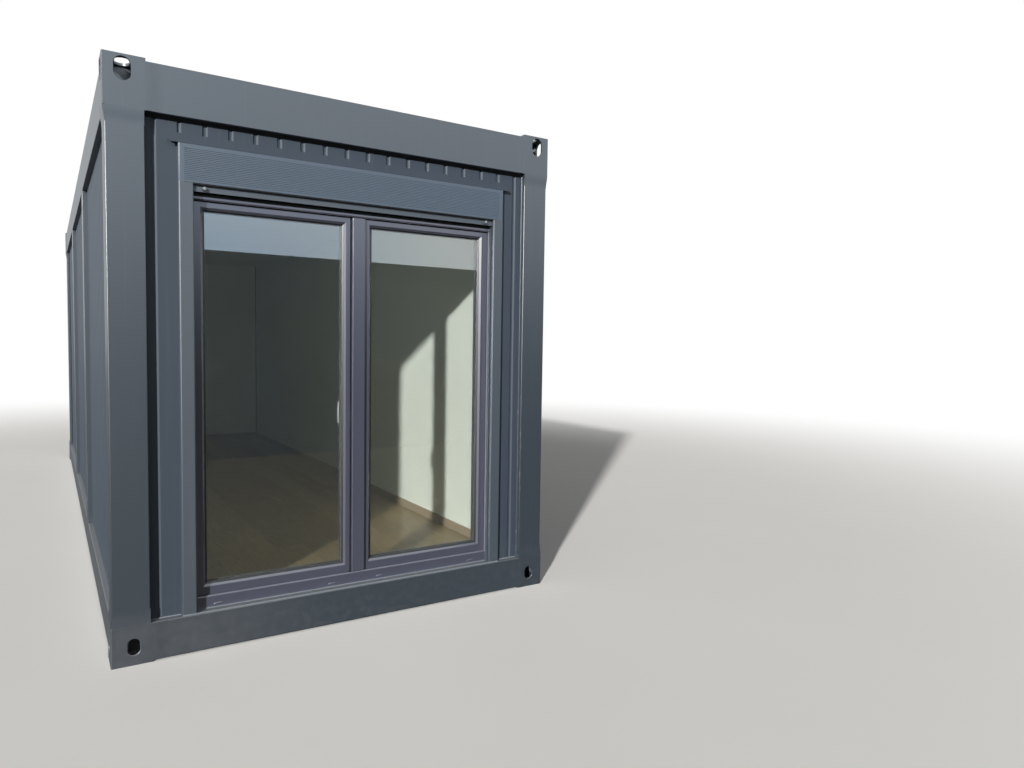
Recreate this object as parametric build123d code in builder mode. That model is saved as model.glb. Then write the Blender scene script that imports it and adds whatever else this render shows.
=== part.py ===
"""Flat-roofed steel office cabin on a container frame, with a glazed two-leaf door
behind a raised roller shutter in its front end.

Millimetres. X runs across the cabin, +Y runs from the front end to the rear end and
+Z is up. The origin is on the ground in the middle of the cabin's footprint.
"""
import os
from math import atan2, degrees

from build123d import *

# Outside size, from corner fitting to corner fitting
width = 2435.0
length = 7000.0
height = 2822.0

# Corner fittings: hollow blocks with an oval hole in the end, the side and the outer bed
fitting_x = 178.0
fitting_y = 162.0
fitting_wall = 12.0
top_fitting_height = 236.0
bottom_fitting_height = 190.0
top_hole_width = 72.0
top_hole_height = 107.0
top_hole_in = 83.0
top_hole_drop = 64.0
foot_hole_width = 53.0
foot_hole_height = 79.0
foot_hole_in = 97.0
foot_hole_rise = 88.0
bed_hole_length = 112.0
bed_hole_width = 63.0
fitting_chamfer = 3.0

# Steel frame: its faces lie a little inside the corner fittings
side_step = 8.0
end_step = 4.0
rail_step = 12.0
foot_gap = 6.0
steel = 4.0
bend = 5.0
post_width = 162.0
post_fold_depth = 26.0
post_fold = 6.0
bottom_side_rail_depth = 150.0
bottom_end_rail_depth = 160.0
rail_lip = 25.0
side_post_width = 140.0
side_post_depth = 76.0
bays = 3

# Sandwich walls
wall = 120.0
side_recess = 30.0
end_recess = 40.0
flute_pitch = 118.5
flute_width = 26.0
flute_floor = 9.0
flute_depth = 6.0
flute_shift = -10.0

# Floor, ceiling and roof
floor_drop = 20.0
deck = 18.0
covering = 3.0
joist_pitch = 600.0
joist_height = 110.0
joist_width = 50.0
ceiling_thickness = 24.0
roof_sheet = 1.5
roof_rib_pitch = 250.0
roof_rib_width = 60.0
roof_rib_height = 9.0
roof_rib_slope = 45.0
roof_rib_in = 10.0
roof_lap = 90.0
roof_play = 1.0
skirting_height = 60.0
skirting_thickness = 12.0
skirting_gap = 1.0

# Door unit: a frame with the shutter box on top of it, and a strip of wall over them
unit_width = 1810.0
over_door = 106.0
box_height = 191.0
side_lip = 67.0
foot_lip = 62.0
head_lip = 67.0
frame_lip_thickness = 15.0
frame_lip_chamfer = 3.0
side_back = 30.0
foot_back = 27.0
head_back = 21.0
frame_face = 64.0
frame_depth = 88.0
running_gap = 5.0
leaf_thickness = 68.0
sash = 90.0
bead = 17.0
bead_depth = 17.0
glass_thickness = 24.0
meeting_x = -39.0
meeting_gap = 14.0
active_stile = 35.0
strip_width = 71.0
strip_stand = 20.0
strip_round = 3.0
strip_short = 6.0
mullion_width = 117.0
mullion_set_back = 2.0

# Hinges on the inner face of the leaves
hinge_radius = 8.5
hinge_stand = 9.0
hinge_knuckle = 35.0
hinge_play = 0.3
hinge_plate = 4.0
hinge_plate_width = 22.0
hinge_in = 200.0

# Handle on the active leaf
handle_rise = 1006.0
handle_plate_width = 28.0
handle_plate_height = 150.0
handle_plate_thickness = 10.0
handle_corner = 9.0
handle_neck = 9.0
handle_stand = 34.0
handle_lever_length = 125.0
handle_lever_width = 20.0
handle_lever_thickness = 11.0

# Roller shutter
shutter_front = 11.0
guide_width = 67.0
guide_slot_width = 19.0
guide_slot_depth = 28.0
guide_slot_in = 16.0
guide_round = 7.0
box_wall = 8.0
box_end = 10.0
box_slot = 26.0
box_chamfer = 2.0
box_cap = 27.0
box_cap_round = 8.0
box_groove = 1.5
box_groove_pitch = 8.5
box_plain_top = 26.0
box_plain_low = 12.0
flashing_sheet = 1.5
flashing_leg = 40.0
flashing_nose = 10.0
flashing_over = 40.0
slat_thickness = 12.0
slat_in = 19.0
slat_play = 6.0
slat_drop = 36.0
roll_radius = 58.0
roll_end_gap = 55.0
axle_radius = 20.0
stop_radius = 11.0
stop_in = 118.0
stop_rise = 21.0
stop_length = 15.0
stop_taper = 12.0

# Planes and edges worked out from the sizes above
half_w = width / 2
half_l = length / 2
frame_x = half_w - side_step
frame_y = half_l - end_step
post_x = frame_x - post_width
rail_bottom = height - top_fitting_height
rail_top = height - rail_step
ledge = bottom_fitting_height
side_out = frame_x - side_recess
side_in = side_out - wall
end_out = frame_y - end_recess
end_in = end_out - wall
wall_height = rail_bottom - ledge
floor_top = ledge - floor_drop
deck_top = floor_top - covering
deck_low = deck_top - deck
ceiling_low = rail_bottom - ceiling_thickness
inner_l = half_l - fitting_y
inner_w = half_w - fitting_x
bottom_side_in = frame_x - bottom_side_rail_depth
bottom_end_in = frame_y - bottom_end_rail_depth
unit_x = unit_width / 2
box_top = rail_bottom - over_door
frame_top = box_top - box_height
frame_height = frame_top - ledge
lip_low = ledge + foot_lip
lip_high = frame_top - head_lip
back_low = ledge + foot_back
back_high = frame_top - head_back
lip_y = -frame_y + frame_face
leaf_y = lip_y + frame_lip_thickness + running_gap
leaf_in = leaf_y + leaf_thickness
leaf_x = unit_x - side_back - running_gap
leaf_low = back_low + running_gap
leaf_top = back_high - running_gap
shutter_y = -frame_y + shutter_front
strip_x = meeting_x + meeting_gap
hinge_x = leaf_x + running_gap / 2
hinge_y = leaf_in + hinge_stand
hinge_low = leaf_low + hinge_in
hinge_high = leaf_top - hinge_in
hinge_levels = (hinge_low, (hinge_low + hinge_high) / 2, hinge_high)
slat_y = shutter_y + slat_in

os.makedirs("parts", exist_ok=True)


def keep(part, name):
    """Label a finished piece and write its file."""
    part.label = name
    export_step(part, f"parts/{name}.step")


def mirrored(points, sign_x, sign_y):
    """Points of one corner turned to another corner of the plan."""
    return [(sign_x * x, sign_y * y) for x, y in points]


def corner_fitting(sign_x, sign_y, low, tall, hole_w, hole_h, hole_in, hole_z, bed_z, bed_up):
    """Hollow corner block; holes in its end face, its side face and its outer bed."""
    mid_x = sign_x * (half_w - fitting_x / 2)
    mid_y = sign_y * (half_l - fitting_y / 2)
    end_at = (sign_x * (half_w - hole_in), sign_y * half_l, hole_z)
    side_at = (sign_x * half_w, sign_y * (half_l - hole_in), hole_z)
    end_plane = Plane(origin=end_at, x_dir=(0, 0, 1), z_dir=(0, sign_y, 0))
    side_plane = Plane(origin=side_at, x_dir=(0, 0, 1), z_dir=(sign_x, 0, 0))
    bed_plane = Plane(origin=(mid_x, mid_y, bed_z), x_dir=(0, 1, 0), z_dir=(0, 0, bed_up))
    with BuildPart() as fitting:
        with BuildSketch(Plane.XY.offset(low)):
            with Locations((mid_x, mid_y)):
                Rectangle(fitting_x, fitting_y)
        extrude(amount=tall)
        with BuildSketch(Plane.XY.offset(low + fitting_wall)):
            with Locations((mid_x, mid_y)):
                Rectangle(fitting_x - 2 * fitting_wall, fitting_y - 2 * fitting_wall)
        extrude(amount=tall - 2 * fitting_wall, mode=Mode.SUBTRACT)
        for plane, long, wide in (
            (end_plane, hole_h, hole_w),
            (side_plane, hole_h, hole_w),
            (bed_plane, bed_hole_length, bed_hole_width),
        ):
            with BuildSketch(plane):
                SlotOverall(long, wide)
            extrude(amount=-fitting_wall, mode=Mode.SUBTRACT)
        outer_corner = Vector(sign_x * half_w, sign_y * half_l, low + tall / 2)
        chamfer(fitting.edges().filter_by(Axis.Z).sort_by_distance(outer_corner)[0], fitting_chamfer)
    return fitting.part


def corner_post(sign_x, sign_y):
    """Folded hollow post; a fold line runs down each of its two inner returns."""
    fold_y = frame_y - post_fold_depth
    side_fold_x = frame_x - post_fold_depth
    outline = [
        (frame_x, frame_y),
        (post_x, frame_y),
        (post_x, fold_y),
        (post_x + post_fold, fold_y),
        (post_x + post_fold, fold_y - post_fold),
        (post_x, fold_y - post_fold),
        (post_x, end_in),
        (side_fold_x - post_fold, end_in),
        (side_fold_x - post_fold, end_in + post_fold),
        (side_fold_x, end_in + post_fold),
        (side_fold_x, end_in),
        (frame_x, end_in),
    ]
    with BuildPart() as post:
        with BuildSketch(Plane.XY.offset(ledge)):
            with BuildLine():
                Polyline(*mirrored(outline, sign_x, sign_y), close=True)
            make_face()
            offset(amount=-steel, kind=Kind.INTERSECTION, mode=Mode.SUBTRACT)
        extrude(amount=wall_height)
        for bend_x in (frame_x, post_x):
            corner = Vector(sign_x * bend_x, sign_y * frame_y, ledge + wall_height / 2)
            fillet(post.edges().filter_by(Axis.Z).sort_by_distance(corner)[0], radius=bend)
    return post.part


def channel(outer, inner, low, high):
    """Outline of a folded channel that opens inwards and has a short lip on each flange."""
    away = 1 if inner > outer else -1
    return [
        (outer, low),
        (inner, low),
        (inner, low + rail_lip),
        (inner - away * steel, low + rail_lip),
        (inner - away * steel, low + steel),
        (outer + away * steel, low + steel),
        (outer + away * steel, high - steel),
        (inner - away * steel, high - steel),
        (inner - away * steel, high - rail_lip),
        (inner, high - rail_lip),
        (inner, high),
        (outer, high),
    ]


def end_rail(outer, inner, low, high):
    """Channel across one end of the cabin, between its corner fittings."""
    with BuildPart() as rail:
        with BuildSketch(Plane.YZ):
            with BuildLine():
                Polyline(*channel(outer, inner, low, high), close=True)
            make_face()
        extrude(amount=inner_w, both=True)
        for level in (low, high):
            corner = Vector(0, outer, level)
            chamfer(rail.edges().filter_by(Axis.X).sort_by_distance(corner)[0], bend / 2)
    return rail.part


def side_rail(outer, inner, low, high):
    """Channel along one side of the cabin, between its corner fittings."""
    with BuildPart() as rail:
        with BuildSketch(Plane.XZ):
            with BuildLine():
                Polyline(*channel(outer, inner, low, high), close=True)
            make_face()
        extrude(amount=inner_l, both=True)
        for level in (low, high):
            corner = Vector(outer, 0, level)
            chamfer(rail.edges().filter_by(Axis.Y).sort_by_distance(corner)[0], bend / 2)
    return rail.part


def flute(centre, face, inward):
    """Shallow groove, from a face towards the core of a panel."""
    return [
        (centre - flute_width / 2, face),
        (centre - flute_floor / 2, face + inward * flute_depth),
        (centre + flute_floor / 2, face + inward * flute_depth),
        (centre + flute_width / 2, face),
    ]


def flutes_between(start, end):
    """Groove centres on the panel pitch, from the middle out; a groove may run off the panel's edge."""
    first = int((start - flute_pitch / 2) // flute_pitch) - 1
    last = int((end + flute_pitch / 2) // flute_pitch) + 1
    centres = [(step + 0.5) * flute_pitch for step in range(first, last)]
    return [c for c in centres if start - flute_width / 2 < c < end + flute_width / 2]


def end_panel(start, end, low, high, sign_y, shift=0.0):
    """Sandwich panel in an end wall, with upright grooves in its outer face."""
    middle = (start + end) / 2
    with BuildPart() as panel:
        with BuildSketch(Plane.XY.offset(low)):
            with Locations((middle, sign_y * (end_out + end_in) / 2)):
                Rectangle(end - start, wall)
            for centre in flutes_between(start - shift, end - shift):
                with BuildLine():
                    Polyline(*flute(centre + shift, sign_y * end_out, -sign_y), close=True)
                make_face(mode=Mode.SUBTRACT)
        extrude(amount=high - low)
    return panel.part


def side_panels(sign_x):
    """The sandwich panels of one side, joined by the lining behind the side posts."""
    free = 2 * end_in - (bays - 1) * side_post_width
    bay = free / bays
    lining = frame_x - side_post_depth - side_in
    with BuildPart() as panels:
        with BuildSketch(Plane.XY.offset(ledge)):
            with Locations((sign_x * (side_in + lining / 2), 0)):
                Rectangle(lining, 2 * end_in)
        extrude(amount=wall_height)
        for number in range(bays):
            start = -end_in + number * (bay + side_post_width)
            middle = start + bay / 2
            with BuildSketch(Plane.XY.offset(ledge)):
                with Locations((sign_x * (side_out + side_in) / 2, middle)):
                    Rectangle(wall, bay)
                for offset_y in flutes_between(-bay / 2, bay / 2):
                    points = [(x, y) for y, x in flute(middle + offset_y, sign_x * side_out, -sign_x)]
                    with BuildLine():
                        Polyline(*points, close=True)
                    make_face(mode=Mode.SUBTRACT)
            extrude(amount=wall_height)
    return panels.part


def side_posts(sign_x):
    """The posts between the bays of one side: folded hollow boxes."""
    free = 2 * end_in - (bays - 1) * side_post_width
    bay = free / bays
    with BuildPart() as posts:
        with BuildSketch(Plane.XY.offset(ledge)):
            for number in range(1, bays):
                middle = -end_in + number * (bay + side_post_width) - side_post_width / 2
                with Locations((sign_x * (frame_x - side_post_depth / 2), middle)):
                    Rectangle(side_post_depth, side_post_width)
                    Rectangle(side_post_depth - 2 * steel, side_post_width - 2 * steel, mode=Mode.SUBTRACT)
        extrude(amount=wall_height)
    return posts.part


def leaf(start, end, start_stile, end_stile, hinge_at, away):
    """Door leaf: welded sash profile with a sloping bead, and its half of the hinges."""
    front = Plane(origin=(0, leaf_y, 0), x_dir=(1, 0, 0), z_dir=(0, -1, 0))
    opening_start = start + start_stile
    opening_end = end - end_stile
    opening_low = leaf_low + sash
    opening_high = leaf_top - sash
    opening = Location(((opening_start + opening_end) / 2, (opening_low + opening_high) / 2))
    open_w = opening_end - opening_start
    open_h = opening_high - opening_low
    with BuildPart() as part:
        with BuildSketch(front):
            with Locations(((start + end) / 2, (leaf_low + leaf_top) / 2)):
                Rectangle(end - start, leaf_top - leaf_low)
        extrude(amount=-leaf_thickness)
        with BuildSketch(front):
            with Locations(opening):
                Rectangle(open_w, open_h)
        extrude(amount=-leaf_thickness, mode=Mode.SUBTRACT)
        with BuildSketch(front):
            with Locations(opening):
                Rectangle(open_w + 2 * bead, open_h + 2 * bead)
        extrude(amount=-bead_depth, taper=degrees(atan2(bead, bead_depth)), mode=Mode.SUBTRACT)
        for level in hinge_levels:
            with BuildSketch(Plane.XY.offset(level + hinge_play)):
                with Locations((hinge_at, hinge_y)):
                    Circle(hinge_radius)
                with Locations((hinge_at + away * hinge_plate_width / 2, leaf_in + hinge_plate / 2)):
                    Rectangle(hinge_plate_width, hinge_plate)
            extrude(amount=hinge_knuckle)
    return part.part


def pane(start, end, start_stile, end_stile):
    """Sealed glass unit that fills a leaf behind its bead."""
    with BuildPart() as glass:
        with BuildSketch(Plane(origin=(0, leaf_y + bead_depth, 0), x_dir=(1, 0, 0), z_dir=(0, -1, 0))):
            with Locations(((start + start_stile + end - end_stile) / 2, (leaf_low + leaf_top) / 2)):
                Rectangle(end - start - start_stile - end_stile, leaf_top - leaf_low - 2 * sash)
        extrude(amount=-glass_thickness)
    return glass.part


def shutter_guide(sign_x):
    """Channel that carries one end of the shutter curtain down the door frame."""
    slot_y = shutter_y + guide_slot_in + guide_slot_width / 2
    depth = lip_y - shutter_y
    with BuildPart() as guide:
        with BuildSketch(Plane.XY.offset(ledge)):
            with Locations((sign_x * (unit_x - guide_width / 2), shutter_y + depth / 2)):
                Rectangle(guide_width, depth)
            with Locations((sign_x * (unit_x - guide_width + guide_slot_depth / 2), slot_y)):
                Rectangle(guide_slot_depth, guide_slot_width, mode=Mode.SUBTRACT)
        extrude(amount=frame_height)
        fillet(guide.edges().filter_by(Axis.Z).group_by(Axis.Y)[0], radius=guide_round)
    return guide.part


for sign_x, side in ((-1, "left"), (1, "right")):
    for sign_y, end in ((-1, "front"), (1, "rear")):
        keep(
            corner_fitting(
                sign_x, sign_y, rail_bottom, top_fitting_height,
                top_hole_width, top_hole_height, top_hole_in, height - top_hole_drop, height, 1,
            ),
            f"top_corner_fitting_{end}_{side}",
        )
        keep(
            corner_fitting(
                sign_x, sign_y, 0, bottom_fitting_height,
                foot_hole_width, foot_hole_height, foot_hole_in, foot_hole_rise, 0, -1,
            ),
            f"bottom_corner_fitting_{end}_{side}",
        )
        keep(corner_post(sign_x, sign_y), f"corner_post_{end}_{side}")
    keep(side_rail(sign_x * frame_x, sign_x * side_in, rail_bottom, rail_top), f"top_rail_{side}")
    keep(side_rail(sign_x * frame_x, sign_x * bottom_side_in, foot_gap, ledge), f"bottom_rail_{side}")
    keep(side_posts(sign_x), f"side_posts_{side}")
    keep(side_panels(sign_x), f"side_wall_{side}")
    keep(shutter_guide(sign_x), f"shutter_guide_{side}")

for sign_y, end in ((-1, "front"), (1, "rear")):
    keep(end_rail(sign_y * frame_y, sign_y * end_in, rail_bottom, rail_top), f"top_rail_{end}")
    keep(end_rail(sign_y * frame_y, sign_y * bottom_end_in, foot_gap, ledge), f"bottom_rail_{end}")

keep(end_panel(-post_x, post_x, ledge, rail_bottom, 1), "rear_wall")
keep(end_panel(-post_x, -unit_x, ledge, rail_bottom, -1), "front_wall_left")
keep(end_panel(unit_x, post_x, ledge, rail_bottom, -1, flute_shift), "front_wall_right")
keep(end_panel(-unit_x, unit_x, box_top, rail_bottom, -1, flute_shift), "front_wall_over_door")

# Floor, let in between the bottom rails: joists, a board deck and a thin covering
joist_count = int(2 * (bottom_end_in - joist_width) // joist_pitch) + 1
with BuildPart() as floor_joists:
    with BuildSketch(Plane.XY.offset(deck_low - joist_height)):
        with GridLocations(1, joist_pitch, 1, joist_count):
            Rectangle(2 * bottom_side_in, joist_width)
    extrude(amount=joist_height)
keep(floor_joists.part, "floor_joists")

with BuildPart() as floor_deck:
    with BuildSketch(Plane.XY.offset(deck_low)):
        Rectangle(2 * bottom_side_in, 2 * bottom_end_in)
    extrude(amount=deck)
keep(floor_deck.part, "floor_deck")

with BuildPart() as floor_covering:
    with BuildSketch(Plane.XY.offset(deck_top)):
        Rectangle(2 * bottom_side_in, 2 * bottom_end_in)
    extrude(amount=covering)
keep(floor_covering.part, "floor_covering")

with BuildPart() as skirting:
    with BuildSketch(Plane.XY.offset(floor_top)):
        for sign in (-1, 1):
            with Locations((sign * (side_in - skirting_thickness / 2), 0)):
                Rectangle(skirting_thickness, 2 * end_in)
        with Locations((0, end_in - skirting_thickness / 2)):
            Rectangle(2 * (side_in - skirting_thickness - skirting_gap), skirting_thickness)
    extrude(amount=skirting_height)
keep(skirting.part, "skirting")

with BuildPart() as ceiling:
    with BuildSketch(Plane.XY.offset(ceiling_low)):
        Rectangle(2 * side_in, 2 * end_in)
    extrude(amount=ceiling_thickness)
keep(ceiling.part, "ceiling")

# Roof: one folded sheet with low ribs across the cabin, flat over the two end rails
roof_x = side_in + roof_lap
rib_count = int((2 * inner_l - roof_rib_pitch) // roof_rib_pitch)
with BuildPart() as roof:
    with BuildSketch(Plane.XY.offset(rail_top)):
        Rectangle(2 * roof_x, 2 * (inner_l - roof_play))
        Rectangle(2 * (inner_w - roof_play), 2 * (end_in + roof_lap))
    extrude(amount=roof_sheet)
    with BuildSketch(Plane.YZ):
        with GridLocations(roof_rib_pitch, 1, rib_count, 1):
            with Locations((0, rail_top + roof_sheet + roof_rib_height / 2)):
                Trapezoid(roof_rib_width, roof_rib_height, roof_rib_slope)
    extrude(amount=side_in - roof_rib_in, both=True)
keep(roof.part, "roof")

# Door frame: a ring with a wide lip that covers the edges of the leaves from outside
frame_plane = Plane(origin=(0, lip_y, 0), x_dir=(1, 0, 0), z_dir=(0, -1, 0))
with BuildPart() as door_frame:
    with BuildSketch(frame_plane):
        with Locations((0, ledge + frame_height / 2)):
            Rectangle(unit_width, frame_height)
        with Locations((0, (lip_low + lip_high) / 2)):
            Rectangle(unit_width - 2 * side_lip, lip_high - lip_low, mode=Mode.SUBTRACT)
    extrude(amount=-frame_lip_thickness)
    with BuildSketch(frame_plane):
        with Locations((0, ledge + frame_height / 2)):
            Rectangle(unit_width, frame_height)
        with Locations((0, (back_low + back_high) / 2)):
            Rectangle(unit_width - 2 * side_back, back_high - back_low, mode=Mode.SUBTRACT)
    extrude(amount=-frame_depth)
    chamfer(door_frame.faces().sort_by(Axis.Y)[0].inner_wires()[0].edges(), frame_lip_chamfer)
keep(door_frame.part, "door_frame")

with BuildPart() as door_hinges:
    for sign in (-1, 1):
        for level in hinge_levels:
            with BuildSketch(Plane.XY.offset(level - hinge_knuckle)):
                with Locations((sign * hinge_x, hinge_y)):
                    Circle(hinge_radius)
                with Locations((sign * (hinge_x + hinge_plate_width / 2), leaf_in + hinge_plate / 2)):
                    Rectangle(hinge_plate_width, hinge_plate)
            extrude(amount=hinge_knuckle)
keep(door_hinges.part, "door_hinges")

# The two leaves; the right one carries the meeting post and its cover strip
mullion_x = strip_x + mullion_set_back
keep(leaf(-leaf_x, meeting_x, sash, active_stile, -hinge_x, 1), "left_leaf")
keep(leaf(mullion_x, leaf_x, mullion_width, sash, hinge_x, -1), "right_leaf")
keep(pane(-leaf_x, meeting_x, sash, active_stile), "left_glass")
keep(pane(mullion_x, leaf_x, mullion_width, sash), "right_glass")

with BuildPart() as meeting_strip:
    with BuildSketch(Plane.XY.offset(lip_low + strip_short)):
        with Locations((strip_x + strip_width / 2, leaf_y - strip_stand / 2)):
            Rectangle(strip_width, strip_stand)
    extrude(amount=lip_high - lip_low - 2 * strip_short)
    fillet(meeting_strip.edges().filter_by(Axis.Z).group_by(Axis.Y)[0], radius=strip_round)
keep(meeting_strip.part, "meeting_strip")

handle_x = meeting_x - active_stile / 2
handle_z = ledge + handle_rise
lever_z = handle_z - (handle_lever_length - handle_lever_width) / 2
handle_plane = Plane(origin=(handle_x, leaf_in, handle_z), x_dir=(1, 0, 0), z_dir=(0, 1, 0))
lever_plane = Plane(origin=(handle_x, leaf_in + handle_stand, lever_z), x_dir=(1, 0, 0), z_dir=(0, 1, 0))
with BuildPart() as door_handle:
    with BuildSketch(handle_plane):
        RectangleRounded(handle_plate_width, handle_plate_height, handle_corner)
    extrude(amount=handle_plate_thickness)
    with BuildSketch(handle_plane):
        Circle(handle_neck)
    extrude(amount=handle_stand)
    with BuildSketch(lever_plane):
        RectangleRounded(handle_lever_width, handle_lever_length, handle_corner)
    extrude(amount=handle_lever_thickness)
keep(door_handle.part, "door_handle")

# Roller shutter: a ribbed box on top of the door frame, its flashing, and the raised curtain
box_depth = -end_in - shutter_y
groove_count = int((box_height - box_plain_top - box_plain_low) // box_groove_pitch)
front_edge = [(shutter_y + box_chamfer, frame_top), (shutter_y, frame_top + box_chamfer)]
for number in range(groove_count):
    rise = frame_top + box_plain_low + number * box_groove_pitch
    front_edge.append((shutter_y, rise))
    front_edge.append((shutter_y + box_groove, rise + box_groove))
    front_edge.append((shutter_y, rise + 2 * box_groove))
front_edge.append((shutter_y, box_top - box_chamfer))
front_edge.append((shutter_y + box_chamfer, box_top))
with BuildPart() as shutter_box:
    with BuildSketch(Plane.YZ):
        with BuildLine():
            Polyline(*front_edge, (-end_in, box_top), (-end_in, frame_top), close=True)
        make_face()
    extrude(amount=unit_x - box_cap, both=True)
    for sign in (-1, 1):
        with BuildSketch(Plane.YZ.offset(sign * (unit_x - box_cap / 2))):
            with Locations((shutter_y + box_depth / 2, frame_top + box_height / 2)):
                Rectangle(box_depth, box_height)
        extrude(amount=box_cap / 2, both=True)
        front_corner = Vector(sign * unit_x, shutter_y, frame_top + box_height / 2)
        fillet(shutter_box.edges().filter_by(Axis.Z).sort_by_distance(front_corner)[0], radius=box_cap_round)
    with BuildSketch(Plane.YZ):
        with Locations((shutter_y + box_depth / 2, frame_top + box_height / 2)):
            Rectangle(box_depth - 2 * box_wall, box_height - 2 * box_wall)
        with Locations((slat_y + slat_thickness / 2, frame_top + box_wall / 2)):
            Rectangle(box_slot, box_wall)
    extrude(amount=unit_x - box_end, both=True, mode=Mode.SUBTRACT)
keep(shutter_box.part, "shutter_box")

with BuildPart() as flashing:
    with BuildSketch(Plane.YZ):
        with BuildLine():
            Polyline(
                (-end_out, box_top + flashing_leg),
                (-end_out - flashing_sheet, box_top + flashing_leg),
                (-end_out - flashing_sheet, box_top + flashing_sheet),
                (shutter_y - flashing_sheet, box_top + flashing_sheet),
                (shutter_y - flashing_sheet, box_top - flashing_nose),
                (shutter_y, box_top - flashing_nose),
                (shutter_y, box_top),
                (-end_out, box_top),
                close=True,
            )
        make_face()
    extrude(amount=unit_x + flashing_over, both=True)
keep(flashing.part, "shutter_box_flashing")

roll_y = slat_y + roll_radius
roll_z = frame_top + box_height / 2
curtain_x = unit_x - guide_width + guide_slot_depth - slat_play
with BuildPart() as shutter_curtain:
    with BuildSketch(Plane.YZ):
        with Locations((roll_y, roll_z)):
            Circle(roll_radius)
    extrude(amount=unit_x - roll_end_gap, both=True)
    with BuildSketch(Plane.YZ):
        with Locations((slat_y + slat_thickness / 2, (frame_top - slat_drop + roll_z) / 2)):
            Rectangle(slat_thickness, roll_z - frame_top + slat_drop)
    extrude(amount=curtain_x, both=True)
    with BuildSketch(Plane.YZ):
        with Locations((roll_y, roll_z)):
            Circle(axle_radius)
    extrude(amount=unit_x - box_end, both=True)
    stop_plane = Plane(origin=(0, slat_y, frame_top - stop_rise), x_dir=(1, 0, 0), z_dir=(0, -1, 0))
    with BuildSketch(stop_plane):
        with GridLocations(2 * (unit_x - stop_in), 1, 2, 1):
            Circle(stop_radius)
    extrude(amount=stop_length, taper=stop_taper)
keep(shutter_curtain.part, "shutter_curtain")
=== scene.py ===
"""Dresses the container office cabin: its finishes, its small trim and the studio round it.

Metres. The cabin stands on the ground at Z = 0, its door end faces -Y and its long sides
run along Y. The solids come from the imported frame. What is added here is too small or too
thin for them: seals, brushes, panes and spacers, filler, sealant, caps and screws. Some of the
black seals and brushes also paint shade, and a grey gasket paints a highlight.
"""
import math

import bmesh
import bpy
import numpy as np
from bpy.props import FloatProperty, FloatVectorProperty, PointerProperty
from mathutils import Euler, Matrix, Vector


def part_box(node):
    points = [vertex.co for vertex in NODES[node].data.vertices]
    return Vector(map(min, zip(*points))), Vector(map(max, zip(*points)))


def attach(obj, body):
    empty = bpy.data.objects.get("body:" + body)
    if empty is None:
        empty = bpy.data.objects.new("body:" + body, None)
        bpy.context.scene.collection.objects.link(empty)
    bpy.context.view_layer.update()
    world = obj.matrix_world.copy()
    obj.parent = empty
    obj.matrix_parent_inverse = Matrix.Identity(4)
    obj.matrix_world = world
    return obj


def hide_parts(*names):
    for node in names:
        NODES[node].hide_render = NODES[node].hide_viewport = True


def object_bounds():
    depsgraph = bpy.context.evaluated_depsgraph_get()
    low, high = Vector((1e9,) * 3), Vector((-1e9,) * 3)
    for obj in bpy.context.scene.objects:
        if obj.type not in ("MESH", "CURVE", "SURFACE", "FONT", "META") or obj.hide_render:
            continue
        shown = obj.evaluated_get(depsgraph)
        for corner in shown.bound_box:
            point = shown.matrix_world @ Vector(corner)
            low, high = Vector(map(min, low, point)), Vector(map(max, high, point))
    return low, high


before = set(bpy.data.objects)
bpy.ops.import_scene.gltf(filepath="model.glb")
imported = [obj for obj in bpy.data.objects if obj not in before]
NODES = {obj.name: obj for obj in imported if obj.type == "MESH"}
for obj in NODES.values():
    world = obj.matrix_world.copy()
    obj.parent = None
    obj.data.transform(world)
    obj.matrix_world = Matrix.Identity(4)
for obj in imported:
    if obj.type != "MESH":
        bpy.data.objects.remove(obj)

bl_info = {
    "name": "Container office cabin",
    "version": (1, 0, 0),
    "blender": (4, 5, 0),
    "location": "3D View > Sidebar > Cabin",
    "description": "Finishes, small trim and studio for a container office cabin",
    "category": "Object",
}

CAD_LOW, CAD_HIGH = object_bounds()
CABIN = "cabin"
LEFT_DOOR = "left_door"
RIGHT_DOOR = "right_door"
MM = 0.001
ENDS = ("front", "rear")
SIDES = ("left", "right")
LEVELS = ("top", "bottom")
ACROSS = (1.0, 0.0, 0.0)
FRONT = (0.0, -1.0, 0.0)
UP = (0.0, 0.0, 1.0)


def linear(code):
    """An sRGB hex colour as linear red, green, blue and alpha."""
    parts = [int(code[i:i + 2], 16) / 255 for i in (1, 3, 5)]
    channels = [p / 12.92 if p <= 0.04045 else ((p + 0.055) / 1.055) ** 2.4 for p in parts]
    return (*channels, 1.0)


def per_metre(size_mm):
    """How many features of that size, in millimetres, fit in one metre."""
    return 1000.0 / size_mm


def length(name, description, millimetres):
    """A property that holds a length."""
    return FloatProperty(
        name=name, description=description, default=millimetres * MM, unit="LENGTH",
        subtype="DISTANCE",
    )


def colour(name, description, code):
    """A property that holds a colour."""
    return FloatVectorProperty(
        name=name, description=description, default=linear(code), size=4, subtype="COLOR",
        min=0.0, max=1.0,
    )


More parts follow.
